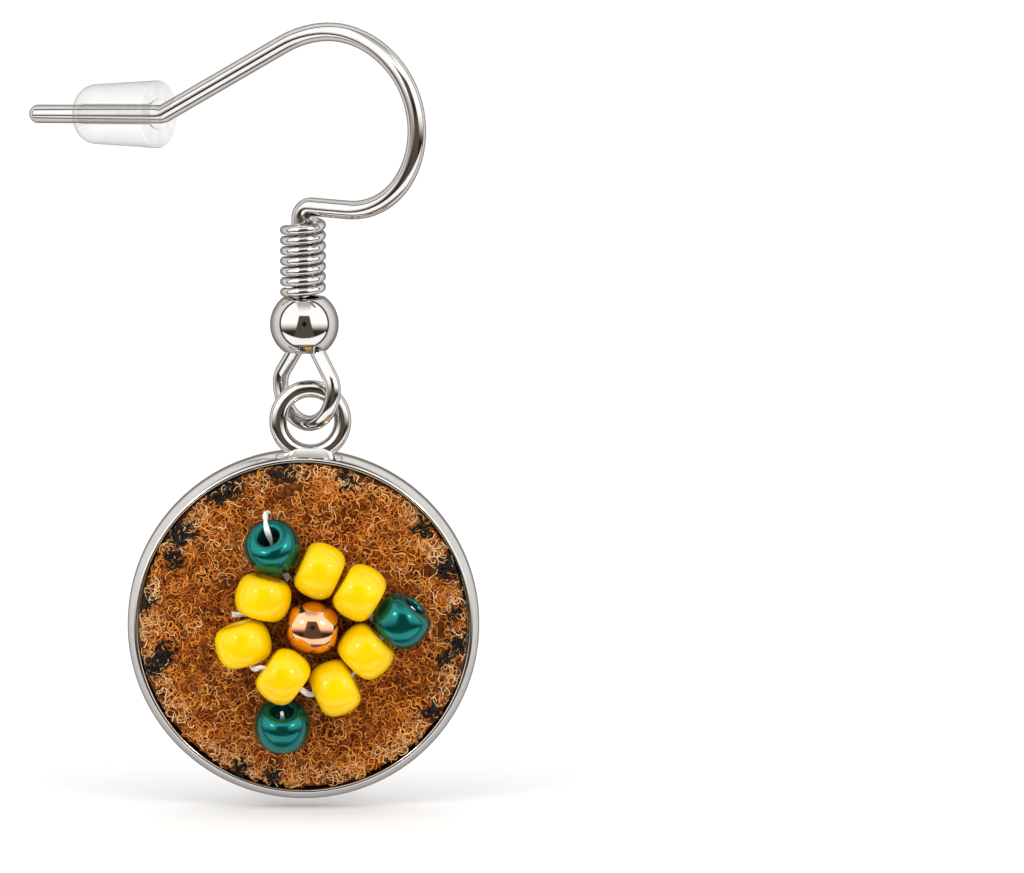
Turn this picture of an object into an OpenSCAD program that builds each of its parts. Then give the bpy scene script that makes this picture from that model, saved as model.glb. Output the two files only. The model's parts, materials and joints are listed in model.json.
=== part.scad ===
// Beaded hook earring: an ear wire with coil, ball and eye, and below it a round steel tray
// filled with felted wool, on which a flower of drilled glass beads is sewn.
// Millimetres. +Z is up, +X right, and the flower faces -Y. The origin is where the wire
// rests in the ear: the middle of the wire at the top of the arch.

/* [Ear wire] */
// Diameter of the ear wire
wire_d = 0.8; // [0.7:0.05:0.85]
// Turn of the ear wire's plane about the vertical, with the tip to the back
hook_turn = 32; // [20:1:40]
// Straight run from the arch down to the bend at the stopper
diagonal_run = 6.8; // [5:0.01:8]
// Straight tip that the stopper slides on, without its rounded end
tip_run = 6.13; // [5:0.01:7]
// Straight run of the jog under the arch
jog_run = 1.82; // [1.6:0.01:2]

/* [Stopper] */
// Length of the clear stopper
stopper_length = 3.95; // [3:0.05:5]
// Diameter at its mouth
stopper_mouth_d = 2.9; // [2.4:0.02:3.4]
// Diameter at its small end
stopper_end_d = 2.48; // [2.2:0.02:2.8]
// Radial clearance of its bore on the wire
stopper_clearance = 0.04; // [0.02:0.01:0.08]
// Diameter of the funnel in its mouth
funnel_d = 1.4; // [1.1:0.05:1.8]
// Depth of the funnel
funnel_depth = 0.5; // [0.3:0.05:1]

/* [Coil] */
// Diameter of the coil's wire
coil_wire_d = 0.39; // [0.34:0.01:0.39]
// Outer diameter of the coil
coil_d = 1.97; // [1.9:0.01:2.1]
// Rise of one turn
coil_pitch = 0.443; // [0.413:0.005:0.443]
// Number of turns
coil_turns = 6.75; // [5.75:0.25:6.75]

/* [Ball] */
// Diameter of the ball
ball_d = 2.93; // [2.8:0.01:2.95]
// Drop from the top of the arch to the ball's centre
ball_drop = 12.67; // [12.66:0.01:12.8]
// Distance of the ball's axis to the right of the stem
ball_shift = 0.15; // [0:0.01:0.2]
// Height of the ball between its drilled flats
ball_flat = 2.3; // [2.2:0.05:2.3]

/* [Eye] */
// Diameter of the eye's wire
eye_wire_d = 0.66; // [0.6:0.02:0.68]
// Turn of the eye's plane about the vertical
eye_turn = 45; // [43:1:47]
// Radius of the eye's round bow, at the middle of the wire
eye_bow_r = 1.59; // [1.5:0.01:1.7]
// Radius of the two shoulders between the bow and the legs
eye_shoulder_r = 0.9; // [0.7:0.05:1]
// Height from the bow's centre to where the legs meet in the ball
eye_fork_h = 2.4; // [2.3:0.01:2.6]
// Drop from the ball's centre to the bow's centre
eye_drop = 2.67; // [2.6:0.01:2.7]
// Distance of the eye's axis to the right of the stem
eye_shift = 0.25; // [0.1:0.01:0.3]

/* [Ring] */
// Diameter of the ring's wire
ring_wire_d = 0.74; // [0.7:0.01:0.74]
// Outer diameter of the ring
ring_d = 3.5; // [3.4:0.01:3.6]
// Drop from the eye's bow to the ring's centre
ring_drop = 1.48; // [1.44:0.01:1.5]
// Distance of the ring's axis to the right of the stem
ring_shift = 0.4; // [0.35:0.01:0.42]

/* [Tray] */
// Outer diameter of the tray
tray_d = 15; // [14.8:0.1:15.2]
// Depth of the tray, from its lip to its back
tray_depth = 1.9; // [1.8:0.1:2.4]
// Thickness of the back plate
back_t = 0.4; // [0.3:0.05:0.5]
// Outer diameter of the flat lip
lip_d = 14.4; // [14.3:0.05:14.6]
// Inner diameter of the tray
pocket_d = 14.12; // [14:0.02:14.2]
// Height of the sloping flank between the lip and the outer wall
flank_h = 0.45; // [0.3:0.05:0.6]
// Radius of the back edge
back_edge_r = 0.8; // [0.5:0.1:1]
// Height of the lip in front of the ring's plane
lip_h = 0.7; // [0.6:0.05:0.8]
// Distance of the tray's axis to the right of the stem
tray_shift = 0.1; // [0:0.01:0.2]
// Drop from the ring's centre to the tray's centre
tray_drop = 8.76; // [8.7:0.01:8.8]
// Length of the solder between ring and tray
solder_length = 2.2; // [1.6:0.1:2.6]
// Thickness of the solder at its middle
solder_d = 0.9; // [0.8:0.05:1]

/* [Felt] */
// Depth of the felt's face below the lip
felt_drop = 0.25; // [0.15:0.05:0.35]
// Bevel round the felt's face
felt_bevel = 0.2; // [0.1:0.05:0.3]

/* [Beads] */
// Diameter of a glass bead
bead_d = 2.42; // [2.3:0.01:2.42]
// Length of a glass bead along its hole
bead_length = 1.8; // [1.7:0.01:1.8]
// Radius of a glass bead's round edges
bead_edge_r = 0.6; // [0.4:0.05:0.7]
// Diameter of a glass bead's hole
bead_hole_d = 0.9; // [0.8:0.05:1]
// Diameter of the copper bead
copper_d = 2.3; // [2.2:0.01:2.3]
// Length of the copper bead
copper_length = 2.16; // [2:0.01:2.16]
// Radius of the copper bead's round edges
copper_edge_r = 0.95; // [0.9:0.01:1]
// Diameter of the thread
thread_d = 0.26; // [0.2:0.02:0.26]

/* [Hidden] */
$fn = 64;
gap = 0.03;
past = 1;
wire_sides = 16;
eye_sides = 14;
coil_sides = 8;
thread_sides = 8;
bend_step = 7.5;

// Bends of the wire. Columns: straight run before the bend, bend radius, bend angle with
// left positive. The arch's table runs from the arch's top down to the stem, and the
// tip's table runs, mirrored, from the arch's top to the tip.
arch_bends = [
    [0, 4.3, -46],
    [0, 3.8, -79],
    [0, 3.4, -55],
    [jog_run, 0.55, 90]
];
tip_bends = [
    [0, 4.3, -9],
    [0, 5.6, -20.5],
    [diagonal_run, 0.9, 25.5]
];

// Where a wire is after its first n bends, and the way it then heads
function sum_angles(bends, n) = n == 0 ? 0 : sum_angles(bends, n - 1) + bends[n - 1][2];
function bend_end(bends, n) =
    n == 0 ? [0, 0] :
    let (
        run = bends[n - 1][0],
        r = bends[n - 1][1] * sign(bends[n - 1][2]),
        from = sum_angles(bends, n - 1),
        to = sum_angles(bends, n)
    )
    bend_end(bends, n - 1) + run * [cos(from), sin(from)]
        + r * [sin(to) - sin(from), cos(from) - cos(to)];

// Points of bend n, with its first one where a straight run comes before it
function bend_points(bends, n) =
    let (
        run = bends[n][0],
        r = bends[n][1] * sign(bends[n][2]),
        from = sum_angles(bends, n),
        start = bend_end(bends, n) + run * [cos(from), sin(from)],
        steps = ceil(abs(bends[n][2]) / bend_step)
    )
    [
        for (i = [run > 0 ? 0 : 1 : steps])
            let (to = from + bends[n][2] * i / steps)
            start + r * [sin(to) - sin(from), cos(from) - cos(to)]
    ];
// Points of the whole wire, which may run on straight after its last bend
function bend_path(bends, last_run) =
    let (n = len(bends), heading = sum_angles(bends, n))
    [
        [0, 0],
        for (i = [0 : n - 1]) each bend_points(bends, i),
        if (last_run > 0) bend_end(bends, n) + last_run * [cos(heading), sin(heading)]
    ];

// The way at a point of a path, and the part of v that stands across a way
function unit(v) = v / norm(v);
function step_way(points, i, closed) =
    let (n = len(points), from = (i + n) % n)
    !closed && (i < 0 || i > n - 2) ? [0, 0, 0] : unit(points[(from + 1) % n] - points[from]);
function way_at(points, i, closed) =
    unit(step_way(points, i - 1, closed) + step_way(points, i, closed));
function across(v, way) = unit(v - (v * way) * way);

stem_start = bend_end(arch_bends, len(arch_bends));
tip_start = bend_end(tip_bends, len(tip_bends));
tip_heading = sum_angles(tip_bends, len(tip_bends));
stem_x = stem_start[0] * cos(hook_turn);
stem_y = -stem_start[0] * sin(hook_turn);
eye_z = -ball_drop - eye_drop;

// The eye's legs lead down from the fork to the shoulders, whose centres stand shoulder_off
// from its axis. The eye is closed above by a crown that rounds the corner at the fork.
shoulder_off = eye_bow_r - eye_shoulder_r;
fork_reach = norm([shoulder_off, eye_fork_h]);
leg_angle = atan2(shoulder_off, eye_fork_h) + asin(eye_shoulder_r / fork_reach);
leg_run = sqrt(pow(fork_reach, 2) - pow(eye_shoulder_r, 2));
crown_r = 0.5;
crown_drop = crown_r * (1 / sin(leg_angle) - 1);
half_eye = bend_path([
    [0, crown_r, leg_angle - 90],
    [leg_run - crown_r / tan(leg_angle), eye_shoulder_r, -leg_angle],
    [0, eye_bow_r, -90]
], 0);
half_last = len(half_eye) - 1;
eye_path = [
    for (i = [0 : half_last - 1]) [half_eye[i][0], half_eye[i][1] - crown_drop, 0],
    for (i = [half_last : -1 : 1]) [-half_eye[i][0], half_eye[i][1] - crown_drop, 0]
];

// The whole ear wire, from the rounded end of its tip to the eye's crown
stem_run = stem_start[1] - eye_z - eye_fork_h + crown_drop;
arch_path = bend_path(arch_bends, stem_run);
tip_path = bend_path(tip_bends, tip_run);
tip_last = len(tip_path) - 1;
tip_round = [75, 60, 40, 20];
hook_path = [
    for (a = tip_round)
        let (reach = wire_d / 2 * sin(a))
        [
            -tip_path[tip_last][0] - reach * cos(tip_heading),
            tip_path[tip_last][1] + reach * sin(tip_heading),
            0
        ],
    for (i = [tip_last : -1 : 0]) [-tip_path[i][0], tip_path[i][1], 0],
    for (i = [1 : len(arch_path) - 1]) [arch_path[i][0], arch_path[i][1], 0]
];
hook_radii = [
    for (a = tip_round) wire_d / 2 * cos(a),
    for (i = [len(tip_round) : len(hook_path) - 1]) wire_d / 2
];

ball_bore_d = wire_d + 2 * (ball_shift + gap) + 0.1;
coil_r = (coil_d - coil_wire_d) / 2;
coil_top = -8.29;
coil_from = 90;
coil_steps = 20;
coil_path = [
    for (i = [0 : coil_turns * coil_steps])
        let (a = coil_from - 360 * i / coil_steps)
        [coil_r * cos(a), coil_r * sin(a), -coil_pitch * i / coil_steps]
];

ring_r = (ring_d - ring_wire_d) / 2;
ring_x = ring_shift - tray_shift;
tray_z = eye_z - ring_drop - tray_drop;
pendant_y = stem_y - 0.1;
tray_r = tray_d / 2;
tray_back = lip_h - tray_depth;
pocket_floor = tray_back + back_t;
arc_step = 15;

felt_face = lip_h - felt_drop;
felt_back = pocket_floor + gap;
felt_d = pocket_d - 4 * gap;

// Where the beads lie on the felt. Columns: right and up from the tray's centre, lift off
// the felt, heading of the hole in the tray's plane, and its tilt to the front.
yellow_beads = [
    [-1.70, 1.40, 0, 76, 0],
    [0.70, 2.55, 0, -24, 0],
    [2.40, 1.65, 0.25, -31, 0],
    [2.65, -0.92, 0, -135, 0],
    [1.35, -2.50, 0, 204, 0],
    [-0.85, -1.90, 0.7, 144, 0],
    [-2.55, -0.60, 0, 107, 0]
];
teal_beads = [
    [-1.30, 3.56, 0, 108, 46],
    [4.20, 0.40, 0, 50, 10],
    [-0.90, -4.12, 0, 90, 34]
];
copper_row = [0.405, 0.105, 0.08, -10, 0];

// Half height of a bead whose hole is tilted
function rest_height(d, length, edge, tilt) =
    (length / 2 - edge) * sin(tilt) + (d / 2 - edge) * cos(tilt) + edge;
function bead_place(row, d, length, edge) =
    [row[0], row[1], felt_face + gap + rest_height(d, length, edge, row[4]) + row[2]];
// The thread's strands over the felt and through the beads. Columns: right, up, front.
thread_low = felt_face + gap + thread_d / 2;
petal_thread = [
    [2.86, 0.42, thread_low], [3.2, 0.07, 0.82], [3.48, -0.27, 0.95], [3.55, -0.33, 1.22],
    [3.52, -0.21, 1.43], [3.41, -0.25, 1.5], [3.11, -0.52, 1.54], [2.87, -0.78, 1.59],
    [2.51, -1.27, 1.66], [2.11, -1.92, 1.69], [1.46, -2.29, 1.72], [0.99, -2.52, 1.77],
    [0.32, -2.77, 1.84], [0.23, -2.75, 1.89], [0.05, -2.59, 2.1], [-0.02, -2.53, 2.16],
    [-0.83, -1.92, 2.31], [-1.57, -1.52, 2.38], [-1.77, -1.46, 2.41], [-2, -1.58, 2.3],
    [-2.06, -1.61, 2.12], [-2.13, -1.62, 1.94], [-2.17, -1.55, 1.88], [-2.36, -0.99, 1.79],
    [-2.71, -0.08, 1.69]
];
top_leaf_thread = [
    [-0.6, 2, thread_low], [-0.98, 2.56, thread_low], [-1.53, 4.37, 2.25], [-1.56, 4.48, 2.29],
    [-1.6, 4.81, 1.97], [-1.61, 4.95, 1.66], [-1.59, 4.97, 1.43], [-1.5, 4.9, thread_low]
];
right_leaf_thread = [[3.52, -0.21, 1.43], [4.68, 0.97, 1.83]];
low_leaf_thread = [[-0.9, -5.3, thread_low], [-0.9, -3.52, 2.16]];
left_thread = [[-3.05, 0.5, thread_low], [-2.2, 0.5, thread_low]];

// A tube with a radius of its own at each point of its path. The rings are carried along
// without twist, and each stands across the mean of the ways before and after it. A closed
// path lies flat and returns to its first point.
module tube(points, radii, sides, closed = false) {
    last = len(points) - 1;
    ways = [for (i = [0 : last]) way_at(points, i, closed)];
    ups = [
        for (i = 0, out = across([0, 0, 1], ways[0]); i <= last; i = i + 1,
            out = i > last ? out : across(out, ways[i])) out
    ];
    rings = [
        for (i = [0 : last], k = [0 : sides - 1])
            let (a = 360 * k / sides)
            points[i] + radii[i] * (cos(a) * ups[i] + sin(a) * cross(ways[i], ups[i]))
    ];
    faces = [
        if (!closed) [for (k = [0 : sides - 1]) k],
        for (i = [0 : closed ? last : last - 1], k = [0 : sides - 1])
            let (
                here = i * sides,
                next = (i + 1) % (last + 1) * sides,
                k2 = (k + 1) % sides
            )
            [here + k, next + k, next + k2, here + k2],
        if (!closed) [for (k = [sides - 1 : -1 : 0]) last * sides + k]
    ];
    polyhedron(rings, faces);
}

// The ear wire's plane, drawn in x and y, stands upright and turned
module hook_plane() {
    rotate([90, 0, -hook_turn])
        children();
}

// The start of the straight tip, with +Z out along it
module at_tip() {
    hook_plane()
        mirror([1, 0, 0])
            translate([tip_start[0], tip_start[1], 0])
                rotate([0, 90, tip_heading])
                    children();
}

// The stem's axis, seen from above, moved right by shift
module beside_stem(shift, z) {
    translate([stem_x + shift, stem_y, z])
        children();
}

// The eye's plane, with the fork at its origin and the bow below
module at_fork() {
    beside_stem(eye_shift, eye_z + eye_fork_h)
        rotate([90, 0, -eye_turn])
            children();
}

// The eye's legs on both sides of the fork
module eye_legs(d) {
    at_fork()
        for (side = [-1, 1])
            rotate([90, 0, side * leg_angle])
                cylinder(h = leg_run, d = d);
}

module ear_hook() {
    color("silver") {
        hook_plane()
            tube(hook_path, hook_radii, wire_sides);
        at_fork()
            tube(eye_path, [for (point = eye_path) eye_wire_d / 2], eye_sides, true);
    }
}

module ear_stopper() {
    color("white", 0.35)
        at_tip()
            difference() {
                stopper_body();
                translate([0, 0, -past])
                    cylinder(h = stopper_length + 2 * past, d = wire_d + 2 * stopper_clearance);
                cylinder(h = funnel_depth, d1 = funnel_d, d2 = wire_d);
            }
}

// A cone whose small end is rounded
module stopper_body() {
    edge_r = 0.35;
    shoulder = stopper_length - edge_r;
    cylinder(h = shoulder, d1 = stopper_mouth_d, d2 = stopper_end_d);
    translate([0, 0, shoulder]) {
        rotate_extrude()
            translate([stopper_end_d / 2 - edge_r, 0])
                circle(r = edge_r);
        cylinder(h = edge_r, d = stopper_end_d - 2 * edge_r);
    }
}

module hook_coil() {
    color("silver")
        beside_stem(0.095, coil_top)
            tube(coil_path, [for (point = coil_path) coil_wire_d / 2], coil_sides);
}

module hook_ball() {
    color("gainsboro")
        difference() {
            intersection() {
                beside_stem(ball_shift, -ball_drop)
                    sphere(d = ball_d);
                beside_stem(ball_shift, -ball_drop - ball_flat / 2)
                    cylinder(h = ball_flat, d = ball_d + past);
            }
            beside_stem(ball_shift, -ball_drop - ball_d)
                cylinder(h = 2 * ball_d, d = ball_bore_d);
            eye_legs(eye_wire_d + 2 * gap);
        }
}

// The tray's own frame: x right, y up, z to the front, with z = 0 in the ring's plane
module pendant() {
    translate([stem_x + tray_shift, pendant_y, tray_z])
        rotate([90, 0, 0])
            children();
}

module bezel_cup() {
    color("silver")
        pendant()
            difference() {
                union() {
                    rotate_extrude()
                        tray_outline();
                    translate([ring_x, tray_drop, 0])
                        rotate_extrude()
                            translate([ring_r, 0])
                                circle(d = ring_wire_d);
                    translate([ring_x, tray_drop - ring_r, 0])
                        solder();
                }
                translate([0, 0, pocket_floor])
                    cylinder(h = tray_depth + past, d = pocket_d);
            }
}

// Half of the tray's section, from its back to its lip
module tray_outline() {
    edge_x = tray_r - back_edge_r;
    edge_z = tray_back + back_edge_r;
    polygon([
        [0, tray_back],
        for (a = [0 : arc_step : 90]) [edge_x + back_edge_r * sin(a), edge_z - back_edge_r * cos(a)],
        [tray_r, lip_h - flank_h],
        [lip_d / 2, lip_h],
        [0, lip_h]
    ]);
}

// Solder that runs out to both sides along the wall
module solder() {
    end_d = 0.3;
    for (way = [-1, 1])
        rotate([0, 90 * way, 0])
            cylinder(h = solder_length / 2, d1 = solder_d, d2 = end_d);
}

module felt_disc() {
    color("chocolate")
        pendant() {
            translate([0, 0, felt_back])
                cylinder(h = felt_face - felt_bevel - felt_back, d = felt_d);
            translate([0, 0, felt_face - felt_bevel])
                cylinder(h = felt_bevel, d1 = felt_d, d2 = felt_d - 2 * felt_bevel);
        }
}

// A drilled barrel bead with round edges, its hole along +Z
module drilled_bead(d, length, edge) {
    difference() {
        rotate_extrude()
            barrel_outline(d / 2, length / 2, edge);
        translate([0, 0, -length])
            cylinder(h = 2 * length, d = bead_hole_d);
    }
}

module barrel_outline(r, half, edge) {
    polygon([
        [0, -half],
        for (a = [-90 : arc_step : 0]) [r - edge + edge * cos(a), edge - half + edge * sin(a)],
        for (a = [0 : arc_step : 90]) [r - edge + edge * cos(a), half - edge + edge * sin(a)],
        [0, half]
    ]);
}

module at_bead(row, d, length, edge) {
    pendant()
        translate(bead_place(row, d, length, edge))
            rotate([0, 90 - row[4], row[3]])
                children();
}

module glass_bead(row) {
    at_bead(row, bead_d, bead_length, bead_edge_r)
        drilled_bead(bead_d, bead_length, bead_edge_r);
}

module yellow_bead(n) {
    color("gold")
        glass_bead(yellow_beads[n - 1]);
}

module teal_bead(n) {
    color("teal")
        glass_bead(teal_beads[n - 1]);
}

module copper_bead() {
    color("peru")
        at_bead(copper_row, copper_d, copper_length, copper_edge_r)
            drilled_bead(copper_d, copper_length, copper_edge_r);
}

module bead_thread() {
    color("white")
        pendant() {
            strand(petal_thread);
            strand(top_leaf_thread);
            strand(right_leaf_thread);
            strand(low_leaf_thread);
            strand(left_thread);
        }
}

module strand(points) {
    tube(points, [for (point = points) thread_d / 2], thread_sides);
}

ear_hook();
ear_stopper();
hook_coil();
hook_ball();
bezel_cup();
felt_disc();
yellow_bead(1);  // yellow_bead_1
yellow_bead(2);  // yellow_bead_2
yellow_bead(3);  // yellow_bead_3
yellow_bead(4);  // yellow_bead_4
yellow_bead(5);  // yellow_bead_5
yellow_bead(6);  // yellow_bead_6
yellow_bead(7);  // yellow_bead_7
teal_bead(1);  // teal_bead_1
teal_bead(2);  // teal_bead_2
teal_bead(3);  // teal_bead_3
copper_bead();
bead_thread();
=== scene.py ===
# Beaded hook earring. Every piece is modelled in millimetres, and finishPiece turns it into
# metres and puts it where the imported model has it.
import json
import math
import random

import bmesh
import bpy
from mathutils import Matrix, Vector

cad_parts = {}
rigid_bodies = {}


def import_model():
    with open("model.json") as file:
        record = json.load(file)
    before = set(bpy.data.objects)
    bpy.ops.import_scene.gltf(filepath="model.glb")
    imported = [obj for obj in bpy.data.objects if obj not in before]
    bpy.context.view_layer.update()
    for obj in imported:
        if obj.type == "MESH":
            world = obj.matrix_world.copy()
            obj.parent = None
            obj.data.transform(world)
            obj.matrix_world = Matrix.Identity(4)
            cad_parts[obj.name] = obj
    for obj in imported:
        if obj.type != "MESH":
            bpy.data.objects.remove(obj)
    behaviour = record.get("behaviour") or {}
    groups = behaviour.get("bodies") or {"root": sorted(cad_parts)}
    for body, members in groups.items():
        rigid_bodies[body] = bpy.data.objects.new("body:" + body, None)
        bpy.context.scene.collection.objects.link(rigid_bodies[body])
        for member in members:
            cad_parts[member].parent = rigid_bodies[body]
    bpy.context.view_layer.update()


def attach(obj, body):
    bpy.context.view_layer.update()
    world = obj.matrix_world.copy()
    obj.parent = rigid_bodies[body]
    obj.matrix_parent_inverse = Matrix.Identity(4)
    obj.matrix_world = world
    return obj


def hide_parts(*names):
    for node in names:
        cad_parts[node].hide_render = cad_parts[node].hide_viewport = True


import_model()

random.seed(7)
scene = bpy.context.scene

# Camera at the photograph's angle
view = {
    "target": (7.565, 0.83, -17.50),
    "elevation": 8.5,
    "distance": 1200.0,
    "shownWidth": 43.63,  # of the scene at the earring, in millimetres
}


def turned(degrees, axis):
    return Matrix.Rotation(math.radians(degrees), 4, axis)


toCamera = turned(-view["elevation"], "X") @ Vector((0, -1, 0))
cameraData = bpy.data.cameras.new("camera")
camera = bpy.data.objects.new("camera", cameraData)
scene.collection.objects.link(camera)
scene.camera = camera
cameraData.sensor_width = 36
cameraData.lens = cameraData.sensor_width * view["distance"] / view["shownWidth"]
cameraData.clip_start = 0.1
cameraData.clip_end = 20
camera.location = (Vector(view["target"]) + toCamera * view["distance"]) * 0.001
camera.rotation_euler = (math.radians(90 - view["elevation"]), 0, 0)
scene.view_settings.view_transform = "Standard"
print("camera set")


# Helpers for modelling
def pick(*objects):
    bpy.ops.object.select_all(action="DESELECT")
    for obj in objects:
        obj.select_set(True)
    bpy.context.view_layer.objects.active = objects[0]


def startEdit(obj, mode="FACE"):
    pick(obj)
    bpy.ops.object.mode_set(mode="EDIT")
    bpy.ops.mesh.select_mode(type=mode)


def endEdit():
    bpy.ops.object.mode_set(mode="OBJECT")


# Selects the faces, edges or vertices for which test is true, with none other selected
def selectWhere(obj, kind, test):
    bpy.ops.mesh.select_all(action="DESELECT")
    mesh = bmesh.from_edit_mesh(obj.data)
    for element in getattr(mesh, kind):
        if test(element):
            element.select_set(True)
    mesh.select_flush_mode()
    bmesh.update_edit_mesh(obj.data)


def applyModifier(obj, kind, **values):
    pick(obj)
    modifier = obj.modifiers.new(kind.lower(), kind)
    for key, value in values.items():
        setattr(modifier, key, value)
    bpy.ops.object.modifier_apply(modifier=modifier.name)


def joined(*objects):
    pick(*objects)
    bpy.ops.object.join()
    return bpy.context.object


def copyOf(obj):
    twin = obj.copy()
    twin.data = obj.data.copy()
    scene.collection.objects.link(twin)
    return twin


def placeMesh(obj, matrix):
    obj.data.transform(matrix @ obj.matrix_world)
    obj.matrix_world = Matrix.Identity(4)


def finishPiece(obj, name, body, nodes, material, place, smoothAngle=40):
    obj.name = name
    obj.data.name = name
    placeMesh(obj, Matrix.Scale(0.001, 4) @ place)
    obj.data.materials.clear()
    obj.data.materials.append(material)
    pick(obj)
    bpy.ops.object.shade_smooth_by_angle(angle=math.radians(smoothAngle))
    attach(obj, body)
    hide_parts(*nodes)
    print("made", name)


# A tube along a flat path in x and y. Each bend is its straight run before, its radius and
# its angle, left positive.
def bendWire(radius, sides, start, heading, bends, lastRun=0.0, stepAngle=4):
    bpy.ops.object.select_all(action="DESELECT")
    bpy.ops.mesh.primitive_circle_add(
        vertices=sides, radius=radius, location=(start[0], start[1], 0),
        rotation=(0, math.pi / 2, math.radians(heading)))
    wire = bpy.context.object
    startEdit(wire, "VERT")
    bpy.ops.mesh.select_all(action="SELECT")
    at = Vector((start[0], start[1], 0))
    for run, bendRadius, angle in bends:
        way = turned(heading, "Z") @ Vector((1, 0, 0))
        if run > 0:
            bpy.ops.mesh.extrude_region_move(TRANSFORM_OT_translate={"value": way * run})
            at += way * run
        side = turned(90, "Z") @ way * math.copysign(bendRadius, angle)
        centre = at + side
        bpy.ops.mesh.spin(
            steps=max(1, round(abs(angle) / stepAngle)), angle=-math.radians(angle),
            center=centre, axis=(0, 0, 1))
        at = centre - turned(angle, "Z") @ side
        heading += angle
    way = turned(heading, "Z") @ Vector((1, 0, 0))
    if lastRun > 0:
        bpy.ops.mesh.extrude_region_move(TRANSFORM_OT_translate={"value": way * lastRun})
        at += way * lastRun
    return wire, at, way


# Closes the selected ring of a tube with a round end
def roundEnd(radius, at, way, steps=5):
    for i in range(1, steps):
        before, now = (math.radians(90 * k / steps) for k in (i - 1, i))
        step = way * radius * (math.sin(now) - math.sin(before))
        bpy.ops.mesh.extrude_region_move(TRANSFORM_OT_translate={"value": step})
        at = at + step
        scale = math.cos(now) / math.cos(before)
        bpy.ops.transform.resize(value=(scale, scale, scale), center_override=at)
    bpy.ops.mesh.extrude_region_move(
        TRANSFORM_OT_translate={"value": way * radius * (1 - math.sin(now))})
    bpy.ops.mesh.merge(type="CENTER")


# Merges what a spin or a join laid double and turns the faces out
def closeMesh(obj):
    startEdit(obj, "VERT")
    bpy.ops.mesh.select_all(action="SELECT")
    bpy.ops.mesh.remove_doubles(threshold=0.002)
    bpy.ops.mesh.normals_make_consistent(inside=False)
    endEdit()


# Materials. Object coordinates are metres, so a pattern's scale is one over its size.
class Nodes:
    def __init__(self, name):
        self.material = bpy.data.materials.new(name)
        self.material.use_nodes = True
        self.tree = self.material.node_tree
        self.shader = self.tree.nodes["Principled BSDF"]
        self.coords = self.tree.nodes.new("ShaderNodeTexCoord").outputs["Object"]

    def set(self, **values):
        for key, value in values.items():
            self.shader.inputs[key.replace("_", " ")].default_value = value

    def noise(self, size, detail=4.0, roughness=0.5, distortion=0.0):
        node = self.tree.nodes.new("ShaderNodeTexNoise")
        node.inputs["Scale"].default_value = 1 / size
        node.inputs["Detail"].default_value = detail
        node.inputs["Roughness"].default_value = roughness
        node.inputs["Distortion"].default_value = distortion
        self.tree.links.new(self.coords, node.inputs["Vector"])
        return node.outputs["Fac"]

    def ramp(self, factor, stops):
        node = self.tree.nodes.new("ShaderNodeValToRGB")
        elements = node.color_ramp.elements
        while len(elements) < len(stops):
            elements.new(1.0)
        for element, (position, color) in zip(elements, stops):
            element.position = position
            element.color = color if len(color) == 4 else (*color, 1)
        self.tree.links.new(factor, node.inputs["Fac"])
        return node.outputs["Color"]

    def bump(self, height, distance, strength=1.0):
        node = self.tree.nodes.new("ShaderNodeBump")
        node.inputs["Strength"].default_value = strength
        node.inputs["Distance"].default_value = distance
        self.tree.links.new(height, node.inputs["Height"])
        self.tree.links.new(node.outputs["Normal"], self.shader.inputs["Normal"])

    def link(self, output, socket):
        self.tree.links.new(output, self.shader.inputs[socket])


def grey(value):
    return (value, value, value, 1)


def makeSteel():
    steel = Nodes("polishedSteel")
    steel.set(Metallic=1.0, Specular_IOR_Level=0.5)
    wear = steel.noise(0.0006, 6, 0.6)
    steel.link(steel.ramp(wear, [(0.3, (0.585, 0.56, 0.535)), (0.7, (0.64, 0.62, 0.60))]),
               "Base Color")
    smears = steel.noise(0.0002, 5, 0.7)
    steel.link(steel.ramp(smears, [(0.35, grey(0.05)), (0.75, grey(0.11))]), "Roughness")
    steel.bump(steel.noise(0.00008, 3), 0.0000006, 0.35)
    return steel.material


def makeGlass(name, deep, bright, tint, metallic, roughness):
    glass = Nodes(name)
    glass.set(Roughness=roughness, IOR=1.38, Specular_Tint=(*tint, 1), Metallic=metallic,
              Coat_Weight=0.3, Coat_Roughness=0.03)
    glass.link(glass.ramp(glass.noise(0.0011, 3), [(0.3, deep), (0.72, bright)]), "Base Color")
    glass.bump(glass.noise(0.0007, 2), 0.00002, 0.25)
    return glass.material


def makeCopper():
    copper = Nodes("copperGlass")
    copper.set(Metallic=1.0, Roughness=0.12, Coat_Weight=0.4, Coat_Roughness=0.03)
    copper.link(
        copper.ramp(copper.noise(0.0006, 3), [
            (0.3, (0.78, 0.37, 0.19)), (0.7, (0.86, 0.43, 0.24))]),
        "Base Color")
    copper.bump(copper.noise(0.0004, 3), 0.000004, 0.5)
    return copper.material


# Clear where it faces the eye and greyer where it is seen at a slant
def makeClearPlastic():
    clear = Nodes("clearPlastic")
    clear.set(Base_Color=(0.24, 0.23, 0.22, 1), IOR=1.5, Roughness=0.03)
    slant = clear.tree.nodes.new("ShaderNodeLayerWeight")
    slant.inputs["Blend"].default_value = 0.5
    clear.link(
        clear.ramp(slant.outputs["Facing"], [
            (0.2, grey(0.06)), (0.55, grey(0.2)), (0.85, grey(0.4)), (1.0, grey(1.0))]),
        "Alpha")
    clear.bump(clear.noise(0.0006, 3), 0.00002, 0.5)
    return clear.material


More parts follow.
